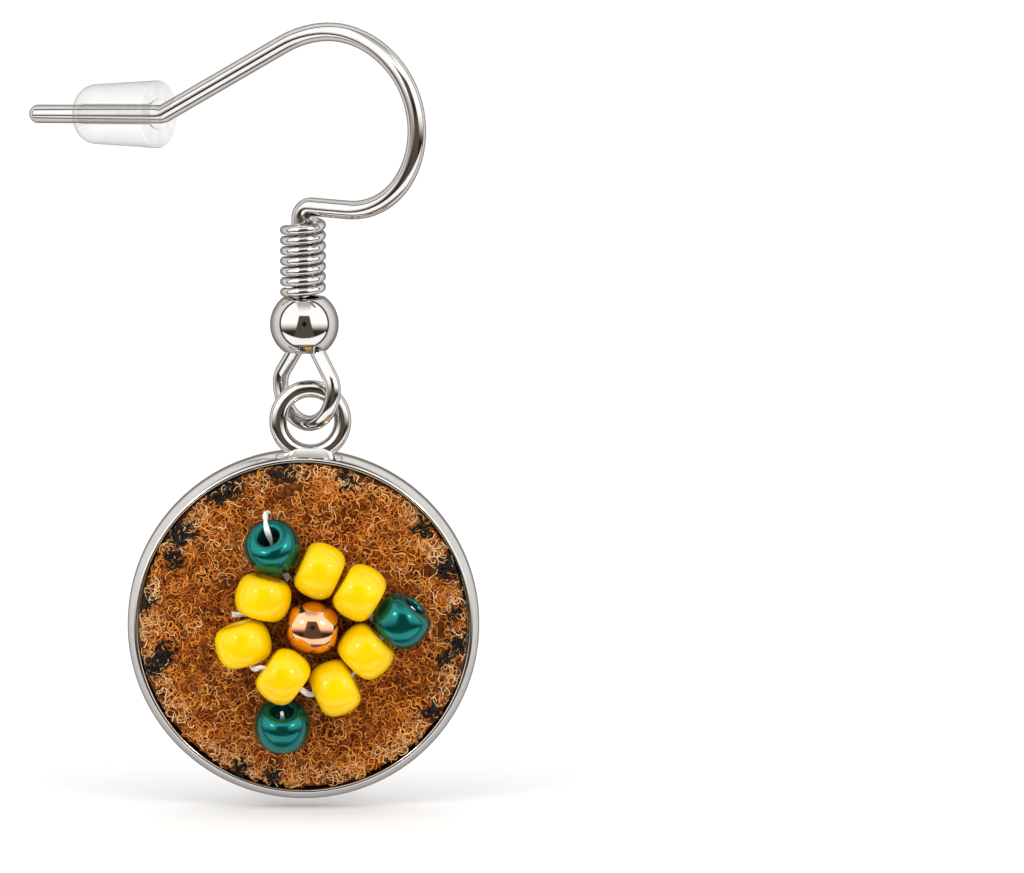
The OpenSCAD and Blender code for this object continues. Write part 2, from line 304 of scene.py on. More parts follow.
# The disc under the fibres is dark: partly the wool's own colour, partly painted shade for the
# gaps between the fibres
def makeFeltBase():
    felt = Nodes("feltBase")
    felt.set(Roughness=0.95, Sheen_Weight=0.1, Specular_IOR_Level=0.05)
    felt.link(
        felt.ramp(felt.noise(0.0005, 6, 0.7), [
            (0.3, (0.05, 0.012, 0.002)), (0.5, (0.18, 0.05, 0.007)), (0.72, (0.36, 0.11, 0.018))]),
        "Base Color")
    felt.bump(felt.noise(0.00015, 4), 0.00008, 0.8)
    return felt.material


# Each fibre has a colour of its own from the ramp
def makeWool(name, stops):
    wool = Nodes(name)
    wool.set(Roughness=0.6, Sheen_Weight=0.05, Specular_IOR_Level=0.15)
    perFibre = wool.tree.nodes.new("ShaderNodeNewGeometry").outputs["Random Per Island"]
    wool.link(wool.ramp(perFibre, stops), "Base Color")
    return wool.material


def makeWhiteThread():
    thread = Nodes("whiteThread")
    thread.set(Roughness=0.55, Sheen_Weight=0.2)
    thread.link(
        thread.ramp(thread.noise(0.0003, 4), [
            (0.3, (0.80, 0.79, 0.76)), (0.7, (0.93, 0.93, 0.91))]),
        "Base Color")
    thread.bump(thread.noise(0.00006, 3), 0.00001, 0.6)
    return thread.material


def makePaper():
    paper = Nodes("paper")
    paper.set(Base_Color=(0.95, 0.95, 0.95, 1), Roughness=0.9, Specular_IOR_Level=0.1)
    return paper.material


steel = makeSteel()
yellowGlass = makeGlass(
    "yellowGlass", deep=(0.90, 0.53, 0.0), bright=(0.95, 0.62, 0.0), tint=(1.0, 0.9, 0.4),
    metallic=0.0, roughness=0.14)
tealGlass = makeGlass(
    "tealGlass", deep=(0.0, 0.135, 0.122), bright=(0.0, 0.175, 0.158), tint=(1, 1, 1),
    metallic=0.85, roughness=0.22)
copperGlass = makeCopper()
clearPlastic = makeClearPlastic()
feltBase = makeFeltBase()
whiteThread = makeWhiteThread()
paper = makePaper()
print("materials made")


# Ear wire
earWireSize = {
    "diameter": 0.8,
    "turn": 32,  # of its plane about the vertical, tip to the back
    "sides": 28,
    # Straight run before each bend, its radius and angle: down to the stem, and to the tip
    "stemBends": [(0, 4.3, -46), (0, 3.8, -79), (0, 3.4, -55), (1.82, 0.55, 90)],
    "tipBends": [(0, 4.3, 9), (0, 5.6, 20.5), (6.8, 0.9, -25.5)],
    "stemRun": 5.1356,
    "tipRun": 6.13,
}
eyeSize = {
    "diameter": 0.66,
    "sides": 24,
    "turn": 45,
    "place": (-1.17698, 0.891679, -15.34),
    "bowRadius": 1.59,
    "shoulderRadius": 0.9,
    "crownRadius": 0.5,
    "forkHeight": 2.4,  # of the legs' meeting point over the bow's centre
}


def wirePlane(turn, place=(0, 0, 0)):
    return Matrix.Translation(place) @ turned(-turn, "Z") @ turned(90, "X")


# Angle of the eye's legs against the vertical, and their length from fork to shoulder
def eyeLegs(eye):
    shoulder = eye["shoulderRadius"]
    off = eye["bowRadius"] - shoulder
    reach = math.hypot(off, eye["forkHeight"])
    angle = math.degrees(math.atan2(off, eye["forkHeight"]) + math.asin(shoulder / reach))
    return angle, math.sqrt(reach ** 2 - shoulder ** 2)


# Gives back where the straight tip starts and which way it runs
def makeEarWire(size, eye):
    radius = size["diameter"] / 2
    stemSide = bendWire(
        radius, size["sides"], (0, 0), 0, size["stemBends"], size["stemRun"])[0]
    bpy.ops.mesh.edge_face_add()
    endEdit()
    tipSide, at, way = bendWire(
        radius, size["sides"], (0, 0), 180, size["tipBends"], size["tipRun"])
    roundEnd(radius, at, way)
    endEdit()
    tipStart = at - way * size["tipRun"]
    hook = joined(stemSide, tipSide)
    placeMesh(hook, wirePlane(size["turn"]))
    angle, run = eyeLegs(eye)
    run -= eye["crownRadius"] / math.tan(math.radians(angle))
    bow, shoulder = (0, eye["bowRadius"], 90), (0, eye["shoulderRadius"], angle)
    loop = bendWire(
        eye["diameter"] / 2, eye["sides"], (0, -eye["bowRadius"]), 0,
        [bow, shoulder, (run, eye["crownRadius"], 180 - 2 * angle), (run, *shoulder[1:]), bow])[0]
    endEdit()
    placeMesh(loop, wirePlane(eye["turn"], eye["place"]))
    wire = joined(hook, loop)
    closeMesh(wire)
    finishPiece(wire, "earWire", "hook", ["ear_hook"], steel, Matrix.Identity(4))
    return tipStart, way


tipStart, tipWay = makeEarWire(earWireSize, eyeSize)

# Coil round the stem
coilSize = {
    "wire": 0.39,
    "outer": 1.97,
    "pitch": 0.443,
    "turns": 6.75,
    "top": (-1.33198, 0.891679, -8.29),
    "stepsPerTurn": 40,
    "sides": 16,
    "endEdge": 0.08,
}


def makeCoil(size):
    middle = (size["outer"] - size["wire"]) / 2
    rise = size["pitch"] * size["turns"]
    bpy.ops.object.select_all(action="DESELECT")
    bpy.ops.mesh.primitive_circle_add(
        vertices=size["sides"], radius=size["wire"] / 2, location=(middle, 0, 0),
        rotation=(math.pi / 2, 0, 0))
    coil = bpy.context.object
    placeMesh(coil, Matrix.Identity(4))
    steps = round(size["turns"] * size["stepsPerTurn"])
    applyModifier(
        coil, "SCREW", angle=math.radians(360 * size["turns"]), screw_offset=rise,
        steps=steps, render_steps=steps, use_merge_vertices=False)
    startEdit(coil, "VERT")
    bpy.ops.mesh.select_all(action="SELECT")
    bpy.ops.mesh.fill_holes(sides=0)
    selectWhere(coil, "faces", lambda face: len(face.verts) > 4)
    bpy.ops.mesh.bevel(offset=size["endEdge"], segments=3)
    bpy.ops.mesh.select_all(action="SELECT")
    bpy.ops.mesh.normals_make_consistent(inside=False)
    endEdit()
    x, y, z = size["top"]
    place = Matrix.Translation((x, y, z - rise)) @ turned(90 - 360 * size["turns"], "Z")
    finishPiece(coil, "coil", "hook", ["hook_coil"], steel, place)


makeCoil(coilSize)

# Ball on the stem
ballSize = {
    "diameter": 2.93,
    "place": (-1.27698, 0.891679, -12.67),
    "flat": 2.3,  # between the drilled flats
    "bore": 1.26,
    "legHole": 0.72,
    "edge": 0.02,
    "sides": 128,
    "rings": 64,
}


def makeBall(size, eye):
    bpy.ops.object.select_all(action="DESELECT")
    bpy.ops.mesh.primitive_uv_sphere_add(
        segments=size["sides"], ring_count=size["rings"], radius=size["diameter"] / 2)
    ball = bpy.context.object
    startEdit(ball)
    for side in (-1, 1):
        bpy.ops.mesh.select_all(action="SELECT")
        bpy.ops.mesh.bisect(plane_co=(0, 0, side * size["flat"] / 2), plane_no=(0, 0, side),
                            use_fill=True, clear_outer=True)
    bpy.ops.mesh.select_mode(type="EDGE")
    selectWhere(ball, "edges", lambda edge: all(
        abs(abs(v.co.z) - size["flat"] / 2) < 0.001 for v in edge.verts))
    bpy.ops.mesh.bevel(offset=size["edge"], segments=3)
    endEdit()
    placeMesh(ball, Matrix.Translation(size["place"]))
    bpy.ops.mesh.primitive_cylinder_add(
        vertices=48, radius=size["bore"] / 2, depth=2 * size["diameter"], location=size["place"])
    cutters = [bpy.context.object]
    angle, length = eyeLegs(eye)
    for side in (-1, 1):
        bpy.ops.mesh.primitive_cylinder_add(vertices=32, radius=size["legHole"] / 2, depth=length)
        leg = bpy.context.object
        fork = Matrix.Translation((0, eye["forkHeight"], 0)) @ turned(side * angle, "Z")
        placeMesh(leg, wirePlane(eye["turn"], eye["place"]) @ fork @ turned(90, "X")
                  @ Matrix.Translation((0, 0, length / 2)))
        cutters.append(leg)
    for cutter in cutters:
        applyModifier(ball, "BOOLEAN", operation="DIFFERENCE", object=cutter, solver="EXACT")
        bpy.data.objects.remove(cutter)
    finishPiece(ball, "ball", "hook", ["hook_ball"], steel, Matrix.Identity(4), 30)


makeBall(ballSize, eyeSize)

# Tray, ring and solder. Their own frame: x right, y up, z to the front.
pendant = Matrix.Translation((-1.32698, 0.791679, -25.58)) @ turned(90, "X")
traySize = {
    "diameter": 15.0,
    "depth": 1.9,
    "lipFront": 0.7,
    "lipOuter": 14.4,
    "lipInner": 14.12,
    "flank": 0.45,
    "backEdge": 0.8,
    "backPlate": 0.4,
    "lipEdge": 0.068,
    "shoulderEdge": 0.12,
    "sides": 192,
}
ringSize = {
    "outer": 3.5,
    "wire": 0.74,
    "sides": 28,
    "steps": 96,
    "centre": (0.3, 8.76),
    "solderTop": (1.94, 7.62, 0.37),  # its width, height and front
    "solderFoot": (2.5, 7.12, 0.66),
    "solderFacet": 0.3,
}


def makeTray(size):
    bpy.ops.object.select_all(action="DESELECT")
    wall = size["depth"] - size["flank"]
    bpy.ops.mesh.primitive_cylinder_add(
        vertices=size["sides"], radius=size["diameter"] / 2, depth=wall,
        location=(0, 0, size["lipFront"] - size["flank"] - wall / 2))
    tray = bpy.context.object
    placeMesh(tray, Matrix.Identity(4))
    startEdit(tray)
    selectWhere(tray, "faces", lambda face: face.normal.z > 0.9)
    bpy.ops.mesh.extrude_region_move(TRANSFORM_OT_translate={"value": (0, 0, size["flank"])})
    scale = size["lipOuter"] / size["diameter"]
    bpy.ops.transform.resize(value=(scale, scale, 1), center_override=(0, 0, size["lipFront"]))
    bpy.ops.mesh.inset(thickness=(size["lipOuter"] - size["lipInner"]) / 2)
    bpy.ops.mesh.extrude_region_move(
        TRANSFORM_OT_translate={"value": (0, 0, size["backPlate"] - size["depth"])})
    # Rounded back edge, and fine round edges at the lip
    back = size["lipFront"] - size["depth"]
    bpy.ops.mesh.select_mode(type="EDGE")
    selectWhere(tray, "edges", lambda edge: all(abs(v.co.z - back) < 0.01 for v in edge.verts))
    bpy.ops.mesh.bevel(offset=size["backEdge"], segments=8)
    front = size["lipFront"]
    selectWhere(tray, "edges", lambda edge: all(abs(v.co.z - front) < 0.01 for v in edge.verts)
                and abs(edge.verts[0].co.xy.length - edge.verts[1].co.xy.length) < 0.001)
    bpy.ops.mesh.bevel(offset=size["lipEdge"], segments=5)
    shoulder = front - size["flank"]
    selectWhere(tray, "edges", lambda edge: all(abs(v.co.z - shoulder) < 0.01 for v in edge.verts))
    bpy.ops.mesh.bevel(offset=size["shoulderEdge"], segments=4)
    endEdit()
    return tray


def makeRing(size):
    middle = (size["outer"] - size["wire"]) / 2
    bpy.ops.object.select_all(action="DESELECT")
    bpy.ops.mesh.primitive_circle_add(
        vertices=size["sides"], radius=size["wire"] / 2, location=(middle, 0, 0),
        rotation=(math.pi / 2, 0, 0))
    ring = bpy.context.object
    startEdit(ring, "VERT")
    bpy.ops.mesh.select_all(action="SELECT")
    bpy.ops.mesh.spin(steps=size["steps"], angle=math.tau, center=(0, 0, 0), axis=(0, 0, 1))
    endEdit()
    closeMesh(ring)
    placeMesh(ring, Matrix.Translation((*size["centre"], 0)))
    return ring


# A wedge from the ring down to the lip, following the tray, with sloping ends
def makeSolder(size):
    bpy.ops.object.select_all(action="DESELECT")
    bpy.ops.mesh.primitive_cube_add(size=2)
    solder = bpy.context.object
    for vert in solder.data.vertices:
        wide, high, front = size["solderTop" if vert.co.y > 0 else "solderFoot"]
        vert.co = (vert.co.x * wide / 2, high, vert.co.z * front)
    startEdit(solder, "EDGE")
    selectWhere(solder, "edges", lambda edge: edge.verts[0].co.x * edge.verts[1].co.x > 0
                and edge.verts[0].co.z * edge.verts[1].co.z > 0)
    bpy.ops.mesh.bevel(offset=size["solderFacet"], segments=2)
    selectWhere(solder, "edges", lambda edge: edge.verts[0].co.x * edge.verts[1].co.x < 0)
    bpy.ops.mesh.subdivide(number_cuts=9)
    endEdit()
    for vert in solder.data.vertices:
        vert.co.y -= vert.co.x ** 2 / size["solderTop"][1] / 2
    placeMesh(solder, Matrix.Translation((size["centre"][0], 0, 0)))
    return solder


def makeSetting():
    setting = makeTray(traySize)
    for part in (makeRing(ringSize), makeSolder(ringSize)):
        applyModifier(setting, "BOOLEAN", operation="UNION", object=part, solver="EXACT")
        bpy.data.objects.remove(part)
    finishPiece(setting, "setting", "pendant", ["bezel_cup"], steel, pendant)


makeSetting()

# Stopper on the tip
stopperSize = {
    "length": 3.95,
    "mouth": 2.9,
    "end": 2.48,
    "bore": 0.88,
    "funnel": 1.4,
    "funnelDepth": 0.5,
    "endEdge": 0.75,
    "mouthEdge": 0.06,
    "mouthRings": (0.25, 0.2),
    "sides": 72,
    "ripples": 9,  # of the moulded mouth
    "rippleHeight": 0.025,
}


def makeStopper(size, tipStart, tipWay):
    bpy.ops.object.select_all(action="DESELECT")
    bpy.ops.mesh.primitive_cone_add(
        vertices=size["sides"], radius1=size["mouth"] / 2, radius2=size["end"] / 2,
        depth=size["length"], location=(0, 0, size["length"] / 2))
    stopper = bpy.context.object
    placeMesh(stopper, Matrix.Identity(4))
    startEdit(stopper)
    # Funnel and bore are drawn in from both flat ends
    selectWhere(stopper, "faces", lambda face: face.normal.z < -0.9)
    for width in size["mouthRings"]:
        bpy.ops.mesh.inset(thickness=width)
    bpy.ops.mesh.inset(
        thickness=(size["mouth"] - size["funnel"]) / 2 - sum(size["mouthRings"]))
    bpy.ops.mesh.extrude_region_move(
        TRANSFORM_OT_translate={"value": (0, 0, size["funnelDepth"])})
    scale = size["bore"] / size["funnel"]
    bpy.ops.transform.resize(value=(scale, scale, 1), center_override=(0, 0, size["funnelDepth"]))
    selectWhere(stopper, "faces", lambda face: face.normal.z > 0.9 and len(face.verts) > 4
                and face.calc_center_median().z > size["length"] - 0.01)
    bpy.ops.mesh.inset(thickness=(size["end"] - size["bore"]) / 2)
    selectWhere(stopper, "faces", lambda face: len(face.verts) > 4)
    bpy.ops.mesh.bridge_edge_loops()
    bpy.ops.mesh.select_mode(type="EDGE")
    selectWhere(stopper, "edges", lambda edge: all(
        v.co.z > size["length"] - 0.01 and v.co.xy.length > size["end"] / 2 - 0.05
        for v in edge.verts))
    bpy.ops.mesh.bevel(offset=size["endEdge"], segments=10)
    selectWhere(stopper, "edges", lambda edge: all(
        v.co.z < 0.01 and v.co.xy.length > size["mouth"] / 2 - 0.05 for v in edge.verts))
    bpy.ops.mesh.bevel(offset=size["mouthEdge"], segments=4)
    endEdit()
    for vert in stopper.data.vertices:
        out = vert.co.xy.length
        if vert.co.z < 0.001 and size["funnel"] / 2 + 0.05 < out < size["mouth"] / 2 - 0.1:
            angle = math.atan2(vert.co.y, vert.co.x)
            wave = math.cos(angle * size["ripples"] + math.sin(2 * angle))
            vert.co.z += size["rippleHeight"] * (1 + wave)
    heading = math.degrees(math.atan2(tipWay.y, tipWay.x))
    place = wirePlane(earWireSize["turn"]) @ Matrix.Translation(tipStart) \
        @ turned(heading, "Z") @ turned(90, "Y")
    finishPiece(stopper, "stopper", "stopper", ["ear_stopper"], clearPlastic,
                place)


makeStopper(stopperSize, tipStart, tipWay)

# Felt
feltSize = {
    "diameter": 14.0,
    "back": -0.77,
    "face": 0.45,
    "edge": 0.2,
    "sides": 128,
    "rings": 28,
    "ringWidth": 0.23,
    "lump": 0.1,
    "lumpSize": 0.35,
}


def makeFeltDisc(size):
    bpy.ops.object.select_all(action="DESELECT")
    bpy.ops.mesh.primitive_cylinder_add(
        vertices=size["sides"], radius=size["diameter"] / 2, depth=size["face"] - size["back"],
        location=(0, 0, (size["face"] + size["back"]) / 2))
    disc = bpy.context.object
    placeMesh(disc, Matrix.Identity(4))
    startEdit(disc)
    selectWhere(disc, "faces", lambda face: face.normal.z > 0.9)
    bpy.ops.mesh.bevel(offset=size["edge"], segments=3)
    selectWhere(disc, "faces", lambda face: face.normal.z > 0.98)
    for i in range(size["rings"]):
        bpy.ops.mesh.inset(thickness=size["ringWidth"])
    bpy.ops.mesh.merge(type="CENTER")
    endEdit()
    texture = bpy.data.textures.new("feltLumps", "CLOUDS")
    texture.noise_scale = size["lumpSize"]
    texture.noise_depth = 3
    applyModifier(disc, "DISPLACE", texture=texture, strength=size["lump"], mid_level=1.0,
                  texture_coords="LOCAL")
    finishPiece(disc, "feltDisc", "pendant", ["felt_disc"], feltBase, pendant, 180)


makeFeltDisc(feltSize)

# Beads. Columns: right and up from the tray's centre, lift off the felt, heading of the hole
# in the tray's plane and its tilt to the front.
yellowBeads = [
    (-1.70, 1.40, 0, 76, 0), (0.70, 2.55, 0, -24, 0), (2.40, 1.65, 0.25, -31, 0),
    (2.65, -0.92, 0, -135, 0), (1.35, -2.50, 0, 204, 0), (-0.85, -1.90, 0.7, 144, 0),
    (-2.55, -0.60, 0, 107, 0)]
tealBeads = [(-1.30, 3.56, 0, 108, 46), (4.20, 0.40, 0, 50, 10), (-0.90, -4.12, 0, 90, 34)]
copperRow = (0.405, 0.105, 0.08, -10, 0)
# The edge only sets how high a bead rests. The shoulder is where its ends are longest, off the
# middle of the hole, and a higher power makes the outside squarer.
glassSize = {
    "diameter": 2.42, "length": 1.8, "hole": 0.9, "edge": 0.6, "shoulder": 0.63, "power": 2.2}
copperSize = {
    "diameter": 2.3, "length": 2.16, "hole": 0.9, "edge": 0.95, "shoulder": 0.5, "power": 1.85}
beadSize = {
    "sides": 40,
    "steps": 64,
    "holePower": 5,
    "feltGap": 0.03,
    "widths": (0.985, 1.0),  # single beads differ between these shares of the size
    "lengths": (0.975, 1.0),
}


# The section of the bead's wall is a circle pressed into shape, round outside and straight
# along the hole, and turned about the hole
def makeBead(size):
    bpy.ops.object.select_all(action="DESELECT")
    bpy.ops.mesh.primitive_circle_add(
        vertices=beadSize["sides"], radius=1, rotation=(math.pi / 2, 0, 0))
    bead = bpy.context.object
    placeMesh(bead, Matrix.Identity(4))
    shoulder = size["shoulder"]
    for vert in bead.data.vertices:
        outside = vert.co.x > 0
        width = size["diameter"] / 2 - shoulder if outside else shoulder - size["hole"] / 2
        power = 2 / (size["power"] if outside else beadSize["holePower"])
        x, z = (math.copysign(abs(c) ** power, c) for c in (vert.co.x, vert.co.z))
        vert.co = (shoulder + x * width, 0, z * size["length"] / 2)
    startEdit(bead, "VERT")
    bpy.ops.mesh.select_all(action="SELECT")
    bpy.ops.mesh.spin(
        steps=beadSize["steps"], angle=math.tau, center=(0, 0, 0), axis=(0, 0, 1))
    endEdit()
    closeMesh(bead)
    return bead


def beadPlace(row, size):
    right, up, lift, heading, tilt = row
    lean = math.radians(tilt)
    rest = (size["length"] / 2 - size["edge"]) * math.sin(lean) \
        + (size["diameter"] / 2 - size["edge"]) * math.cos(lean) + size["edge"]
    centre = (right, up, feltSize["face"] + beadSize["feltGap"] + rest + lift)
    return pendant @ Matrix.Translation(centre) @ turned(heading, "Z") @ turned(90 - tilt, "Y")


glassBead = makeBead(glassSize)
for color, rows, material in (
        ("yellow", yellowBeads, yellowGlass), ("teal", tealBeads, tealGlass)):
    for i, row in enumerate(rows):
        bead = copyOf(glassBead)
        wide = random.uniform(*beadSize["widths"])
        long = random.uniform(*beadSize["lengths"])
        placeMesh(bead, Matrix.Diagonal((wide, wide, long, 1)))
        finishPiece(bead, f"{color}Bead{i + 1}", "pendant",
                    [f"{color}_bead_{i + 1}"], material, beadPlace(row, glassSize), 60)
bpy.data.objects.remove(glassBead)
finishPiece(makeBead(copperSize), "copperBead", "pendant", ["copper_bead"],
            copperGlass, beadPlace(copperRow, copperSize), 60)

# Thread
threadSize = {
    "diameter": 0.26,
    "ply": 0.6,     # radius of each of the two plies, as a share of the thread's
    "plyOff": 0.4,  # how far off its middle they lie, as the same share
    "lay": 3.0,     # length of one turn of the plies
    "step": 0.06,
    "smoothing": 12,
}
# Points right, up and to the front of the tray's centre
strands = {
    "petals": [
        (2.86, 0.42, 0.61), (3.2, 0.07, 0.82), (3.48, -0.27, 0.95), (3.55, -0.33, 1.22),
        (3.52, -0.21, 1.43), (3.41, -0.25, 1.5), (3.11, -0.52, 1.54), (2.87, -0.78, 1.59),
        (2.51, -1.27, 1.66), (2.11, -1.92, 1.69), (1.46, -2.29, 1.72), (0.99, -2.52, 1.77),
        (0.32, -2.77, 1.84), (0.23, -2.75, 1.89), (0.05, -2.59, 2.1), (-0.02, -2.53, 2.16),
        (-0.83, -1.92, 2.31), (-1.57, -1.52, 2.38), (-1.77, -1.46, 2.41), (-2, -1.58, 2.3),
        (-2.06, -1.61, 2.12), (-2.13, -1.62, 1.94), (-2.17, -1.55, 1.88), (-2.36, -0.99, 1.79),
        (-2.71, -0.08, 1.69)],
    "topLeaf": [
        (-0.6, 2, 0.61), (-0.98, 2.56, 0.61), (-1.53, 4.37, 2.25), (-1.56, 4.48, 2.29),
        (-1.6, 4.81, 1.97), (-1.61, 4.95, 1.66), (-1.59, 4.97, 1.43), (-1.5, 4.9, 0.61)],
    "rightLeaf": [(3.52, -0.21, 1.43), (4.68, 0.97, 1.83)],
    "lowLeaf": [(-0.9, -5.3, 0.61), (-0.9, -3.52, 2.16)],
    "left": [(-3.05, 0.5, 0.61), (-2.2, 0.5, 0.61)],
}


# Points a fixed step apart along a line of points, with its corners eased
def evenPoints(points, step, smoothing):
    points = [Vector(p) for p in points]
    even = [points[0]]
    for a, b in zip(points, points[1:]):
        count = max(1, round((b - a).length / step))
        even += [a.lerp(b, (i + 1) / count) for i in range(count)]
    for i in range(smoothing):
        even[1:-1] = [(a + 2 * b + c) / 4 for a, b, c in zip(even, even[1:], even[2:])]
    return even


def makeThread(size):
    plies = []
    radius = size["diameter"] / 2
    for points in strands.values():
        path = evenPoints(points, size["step"], size["smoothing"])
        for ply in (0, 1):
            curve = bpy.data.curves.new("ply", "CURVE")
            curve.dimensions = "3D"
            curve.bevel_depth = radius * size["ply"]
            curve.bevel_resolution = 2
            curve.use_fill_caps = True
            spline = curve.splines.new("POLY")
            spline.points.add(len(path) - 1)
            for i, point in enumerate(path):
                way = (path[min(i + 1, len(path) - 1)] - path[max(i - 1, 0)]).normalized()
                across = Vector((0, 0, 1)) if abs(way.z) < 0.9 else Vector((1, 0, 0))
                side = way.cross(across).normalized()
                angle = math.tau * (i * size["step"] / size["lay"]) + ply * math.pi
                offset = Matrix.Rotation(angle, 3, way) @ side * radius * size["plyOff"]
                spline.points[i].co = (*(point + offset), 1)
            obj = bpy.data.objects.new("ply", curve)
            scene.collection.objects.link(obj)
            pick(obj)
            bpy.ops.object.convert(target="MESH")
            plies.append(bpy.context.object)
    finishPiece(joined(*plies), "beadThread", "pendant", ["bead_thread"],
                whiteThread, pendant, 60)


makeThread(threadSize)

# Felt fibres
fibreSize = {
    "sides": 3,
    "arcs": 3,
    "radii": (0.1, 0.29),
    "angles": (40, 110),
    "stepAngle": 35,
    "point": 0.05,
    "waveHeights": (0.05, 0.04),  # waves along x and along y that bend it off the flat
    "waveRates": (9, 11),
    "shapes": 12,
    "widths": (0.7, 1.2),  # shares of a tuft's fibre width
    "rim": 7.03,
}
tuftSize = {"width": 0.037, "fibres": 18, "spread": 0.35}
curlSize = {"width": 0.032, "fibres": 11, "spread": 0.35}
clumpSize = {"width": 0.09, "fibres": 16, "spread": 0.15}
tuftShapes = {"count": 6, "lift": 0.06, "lean": 22, "goldenAngle": 137.508, "jitter": 0.2}


# A thin curl of a few arcs with pointed ends
def makeFibre(width):
    bends = [(0, random.uniform(*fibreSize["radii"]),
              random.choice((-1, 1)) * random.uniform(*fibreSize["angles"]))
             for i in range(fibreSize["arcs"])]
    fibre, at, way = bendWire(
        width / 2, fibreSize["sides"], (0, 0), 0, bends, stepAngle=fibreSize["stepAngle"])
    bpy.ops.mesh.extrude_region_move(
        TRANSFORM_OT_translate={"value": way * fibreSize["point"]})
    bpy.ops.mesh.merge(type="CENTER")
    bpy.ops.mesh.select_all(action="SELECT")
    bpy.ops.mesh.fill_holes(sides=fibreSize["sides"])
    endEdit()
    middle = at / 2
    heightX, heightY = fibreSize["waveHeights"]
    rateX, rateY = fibreSize["waveRates"]
    for vert in fibre.data.vertices:
        vert.co.z += heightX * math.sin(vert.co.x * rateX) + heightY * math.cos(vert.co.y * rateY)
    placeMesh(fibre, Matrix.Translation(-middle))
    return fibre


def makeTufts(size):
    shapes = [makeFibre(size["width"] * random.uniform(*fibreSize["widths"]))
              for i in range(fibreSize["shapes"])]
    spread, lift, lean = size["spread"], tuftShapes["lift"], tuftShapes["lean"]
    tufts = []
    for t in range(tuftShapes["count"]):
        parts = []
        for i in range(size["fibres"]):
            part = copyOf(random.choice(shapes))
            spot = (random.gauss(0, spread), random.gauss(0, spread), random.uniform(-lift, lift))
            leanX, leanY = (random.uniform(-lean, lean) for axis in "XY")
            placeMesh(part, Matrix.Translation(spot) @ turned(leanX, "X") @ turned(leanY, "Y")
                      @ turned(random.uniform(0, 360), "Z"))
            parts.append(part)
        tufts.append(joined(*parts))
    for obj in shapes:
        bpy.data.objects.remove(obj)
    return tufts


# Spots spread evenly over a round area, in a spiral with some jitter
def evenSpots(count, inner, outer):
    turn, jitter = math.radians(tuftShapes["goldenAngle"]), tuftShapes["jitter"]
    spots = []
    for i in range(count):
        share = (i + random.random()) / count
        reach = math.sqrt(inner ** 2 + (outer ** 2 - inner ** 2) * share)
        angle = i * turn + random.uniform(-jitter, jitter)
        spots.append((reach * math.cos(angle), reach * math.sin(angle)))
    return spots


def makeFibres(name, tufts, spots, heights, stops):
    parts = []
    for x, y in spots:
        part = copyOf(random.choice(tufts))
        placeMesh(part, Matrix.Translation((x, y, random.uniform(*heights)))
                  @ turned(random.uniform(0, 360), "Z"))
        parts.append(part)
    fibres = joined(*parts)
    # Fibres that would stand past the rim go
    startEdit(fibres, "VERT")
    selectWhere(fibres, "verts", lambda vert:
                vert.co.xy.length > fibreSize["rim"] or vert.co.z < 0)
    bpy.ops.mesh.select_linked()
    bpy.ops.mesh.delete(type="VERT")
    endEdit()
    print(name, "has", len(fibres.data.polygons), "faces")
    finishPiece(fibres, name, "pendant", ["felt_disc"], makeWool(name, stops), pendant, 60)


tufts = makeTufts(tuftSize)
curls = makeTufts(curlSize)
feltRadius = feltSize["diameter"] / 2
rust = [(0.0, (0.13, 0.021, 0.001)), (0.5, (0.52, 0.118, 0.008)), (1.0, (1.0, 0.40, 0.05))]
# Columns: the tufts and their number, the radii and the heights they lie between, and colours
layers = {
    # The under layer's near-black browns are partly painted shade for the depths between the
    # fibres
    "feltUnder": (tufts, 230, (0, feltRadius - 0.2), (0.36, 0.46), [
        (0.0, (0.03, 0.006, 0.001)), (1.0, (0.25, 0.055, 0.005))]),
    "feltBody": (tufts, 230, (0, feltRadius - 0.2), (0.42, 0.50), rust),
    "feltTop": (tufts, 230, (0, feltRadius - 0.25), (0.46, 0.54), rust),
    # The pale curls' light tones are partly painted highlights on the wool
    "feltCurls": (curls, 130, (0, feltRadius - 0.3), (0.52, 0.60), [
        (0.0, (0.60, 0.17, 0.02)), (0.6, (0.95, 0.40, 0.07)), (1.0, (1.0, 0.72, 0.36))]),
    "feltFringe": (curls, 110, (feltRadius - 0.55, feltRadius - 0.1), (0.48, 0.58), [
        (0.0, (0.76, 0.33, 0.08)), (1.0, (1.0, 0.72, 0.38))]),
}
# The wool is darker, with few pale curls and so few painted highlights, at the lower right
darkPlace = {"right": 4.3, "up": -2.9, "radius": 1.9}
for name, (shapes, count, radii, heights, stops) in layers.items():
    spots = evenSpots(count, *radii)
    if name == "feltCurls":
        spots = [
            (x, y) for x, y in spots
            if math.hypot(x - darkPlace["right"], y - darkPlace["up"]) > darkPlace["radius"]]
    makeFibres(name, shapes, spots, heights, stops)
# Near-black tufts lie in places near the rim: right, up and how many tufts
blackPlaces = [
    (-1.3, 6.6, 1), (-0.6, 6.65, 1), (-3.7, 5.65, 2), (-3.2, 5.95, 2), (-5.35, 3.9, 2),
    (-5.1, 4.2, 1), (-5.5, 2.9, 1), (1.95, 6.3, 1), (5.1, 4.3, 1), (6.2, 2.55, 2),
    (6.6, 0.55, 1), (6.65, -0.7, 2), (6.0, -1.4, 1), (5.55, -3.65, 1), (-5.9, -1.2, 1),
    (-6.35, -1.75, 2), (-6.6, 1.0, 1), (-2.8, -6.1, 1), (-1.3, -6.55, 1)]
blackSpots = [(x, y) for x, y, count in blackPlaces for i in range(count)]
clumps = makeTufts(clumpSize)
makeFibres("feltBlack", clumps, blackSpots, (0.55, 0.61), [
    (0.0, (0.003, 0.003, 0.003)), (1.0, (0.02, 0.015, 0.012))])
for obj in tufts + curls + clumps:
    bpy.data.objects.remove(obj)

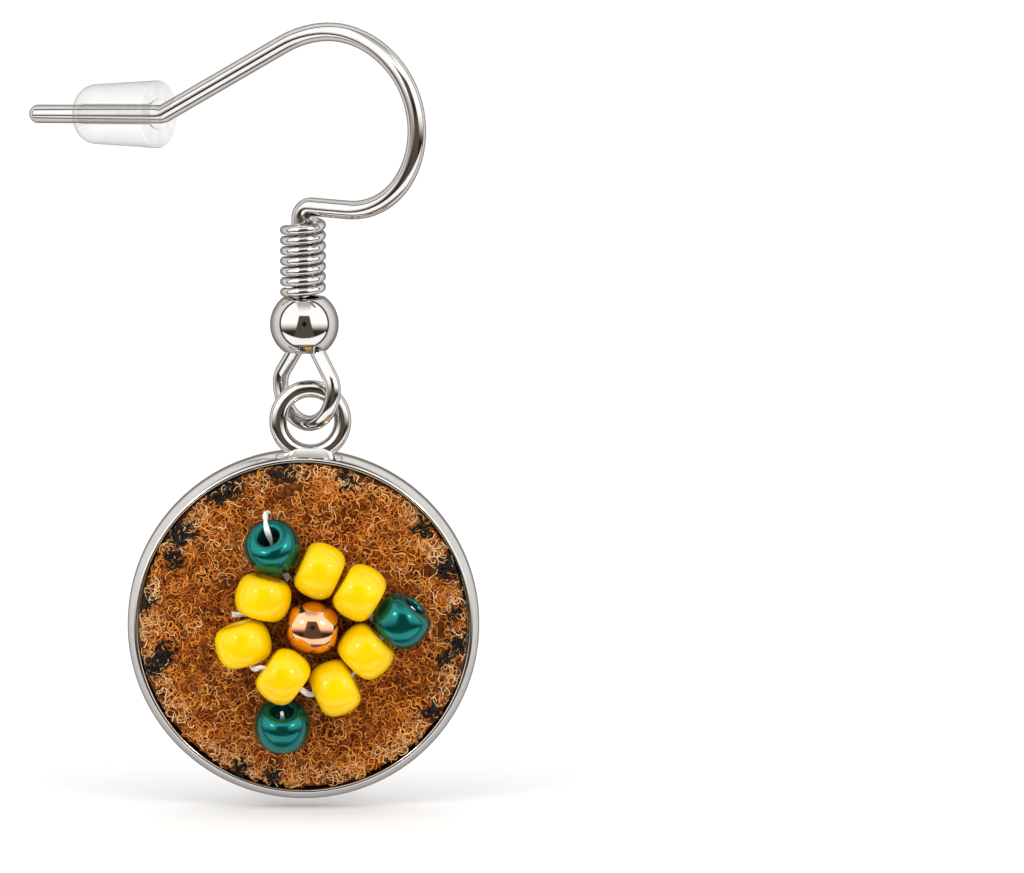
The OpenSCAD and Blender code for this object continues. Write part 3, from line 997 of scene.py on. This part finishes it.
# Floor and light, in metres
floorSize = {"width": 6, "level": -0.0335}
bpy.ops.object.select_all(action="DESELECT")
bpy.ops.mesh.primitive_plane_add(size=floorSize["width"], location=(0, 0, floorSize["level"]))
floor = bpy.context.object
floor.name = "floor"
floor.data.materials.append(paper)
floor.visible_glossy = False

cameraFrame = turned(90 - view["elevation"], "X")
aim = Vector(view["target"]) * 0.001
softbox = {"size": 0.09, "power": 0.55, "distance": 0.7}
# Right, up and towards the camera
softboxWays = {"left": (-0.555, 0.374, 0.743), "right": (0.555, 0.374, 0.743)}
topLight = {"size": 0.9, "power": 0.6, "place": (0, 0.05, 1.2)}


def addLamp(name, size, power, place):
    light = bpy.data.lights.new(name, "AREA")
    light.shape = "DISK"
    light.size = size
    light.energy = power
    lamp = bpy.data.objects.new(name, light)
    lamp.location = place
    scene.collection.objects.link(lamp)
    return lamp


top = addLamp("top", topLight["size"], topLight["power"], aim + Vector(topLight["place"]))
top.visible_glossy = False
for name, sides in softboxWays.items():
    way = cameraFrame @ Vector(sides)
    lamp = addLamp(name, softbox["size"], softbox["power"], aim + way * softbox["distance"])
    lamp.rotation_euler = (-way).to_track_quat("-Z", "Y").to_euler()

# The tent round the earring, painted by where a mirror ball would show each part of it:
# right and up from the ball's centre, with 1 at its edge
tent = {
    "back": 0.25,      # straight behind the earring
    "backEdge": 1.1,   # where the back meets the front
    "backShares": (0.86, 1.05),  # of that, low and high up
    "front": 1.7,
    "low": 0.04,       # front, below the camera
    "crown": 0.7,      # duller strip over the camera
    "stand": 0.13,     # under the camera
    "camera": 0.01,
    "table": 1.55,     # table top in front of the earring
    "tableSide": 0.3,  # below its near edge
    "seam": 0.06,      # dark gap between front and back
    "crownSlope": 0.3,
    "standSlope": 0.235,
    "tableCurve": 0.5,
}
# Where a part ends, and how soft its border is
borders = {
    "back": (0.9, 0.1),
    "backHeight": (0.0, 0.9),
    "low": (-0.08, 0.14),
    "crown": (0.45, 0.12),
    "crownSide": (0.05, 0.04),
    "stand": (0.24, 0.02),
    "standSide": (0.205, 0.015),
    "camera": (0.085, 0.015),
    "table": (-0.42, 0.012),
    "tableSide": (-0.60, 0.01),
    "front": (0.70, 0.01),
    "seam": (0.025, 0.012),
}
world = bpy.data.worlds.new("tent")
scene.world = world
world.use_nodes = True
tree = world.node_tree
background = tree.nodes["Background"]


def worldNode(kind, inputs, **settings):
    node = tree.nodes.new(kind)
    for key, value in settings.items():
        setattr(node, key, value)
    for socket, value in zip(node.inputs, inputs):
        if isinstance(value, bpy.types.NodeSocket):
            tree.links.new(value, socket)
        else:
            socket.default_value = value
    return node


def number(operation, *inputs):
    return worldNode("ShaderNodeMath", inputs, operation=operation).outputs[0]


def vector(operation, *inputs):
    return worldNode("ShaderNodeVectorMath", inputs, operation=operation)


# 1 where value is above the edge, with a soft border
def above(value, edge, softness):
    return worldNode(
        "ShaderNodeMapRange", (value, edge - softness, edge + softness),
        interpolation_type="SMOOTHSTEP").outputs["Result"]


def below(value, edge, softness):
    return number("SUBTRACT", 1.0, above(value, edge, softness))


def mixed(factor, one, other):
    return number("ADD", number("MULTIPLY", number("SUBTRACT", 1.0, factor), one),
                  number("MULTIPLY", factor, other))


direction = tree.nodes.new("ShaderNodeTexCoord").outputs["Generated"]
half = vector("NORMALIZE", vector("ADD", direction, toCamera).outputs[0]).outputs[0]
across = vector("DOT_PRODUCT", half, cameraFrame @ Vector((1, 0, 0))).outputs["Value"]
up = vector("DOT_PRODUCT", half, cameraFrame @ Vector((0, 1, 0))).outputs["Value"]
acrossSquare = number("MULTIPLY", across, across)
reach = number("SQRT", number("ADD", acrossSquare, number("MULTIPLY", up, up)))
aside = number("ABSOLUTE", across)

back = mixed(above(reach, *borders["back"]), tent["backEdge"], tent["back"])
back = number("MULTIPLY", back, mixed(above(up, *borders["backHeight"]), *tent["backShares"]))
front = mixed(above(up, *borders["low"]), tent["low"], tent["front"])
crownSide = number("SUBTRACT", aside, number("MULTIPLY", up, tent["crownSlope"]))
crown = number("MULTIPLY", above(up, *borders["crown"]), below(crownSide, *borders["crownSide"]))
front = mixed(crown, front, tent["crown"])
# The camera and its stand: wider towards the bottom
standSide = number("ADD", aside, number("MULTIPLY", up, tent["standSlope"]))
stand = number("MULTIPLY", below(standSide, *borders["standSide"]), below(up, *borders["stand"]))
front = mixed(stand, front, tent["stand"])
cameraSide = number("ADD", aside, number("ABSOLUTE", up))
front = mixed(below(cameraSide, *borders["camera"]), front, tent["camera"])
# The near edge of the table is seen as a curve
tableEdge = number("SUBTRACT", up, number("MULTIPLY", acrossSquare, tent["tableCurve"]))
front = mixed(below(tableEdge, *borders["table"]), front, tent["table"])
front = mixed(below(up, *borders["tableSide"]), front, tent["tableSide"])
brightness = mixed(above(reach, *borders["front"]), front, back)
fromSeam = number("ABSOLUTE", number("SUBTRACT", reach, borders["front"][0]))
brightness = mixed(below(fromSeam, *borders["seam"]), brightness, tent["seam"])
# Its dark parts are brown
tone = tree.nodes.new("ShaderNodeValToRGB")
toneStops = ((0.1, (1.0, 0.80, 0.65, 1)), (0.6, grey(1.0)))
for element, (position, color) in zip(tone.color_ramp.elements, toneStops):
    element.position = position
    element.color = color
tree.links.new(brightness, tone.inputs["Fac"])
tree.links.new(tone.outputs["Color"], background.inputs["Color"])
tree.links.new(brightness, background.inputs["Strength"])
print("floor and light set")
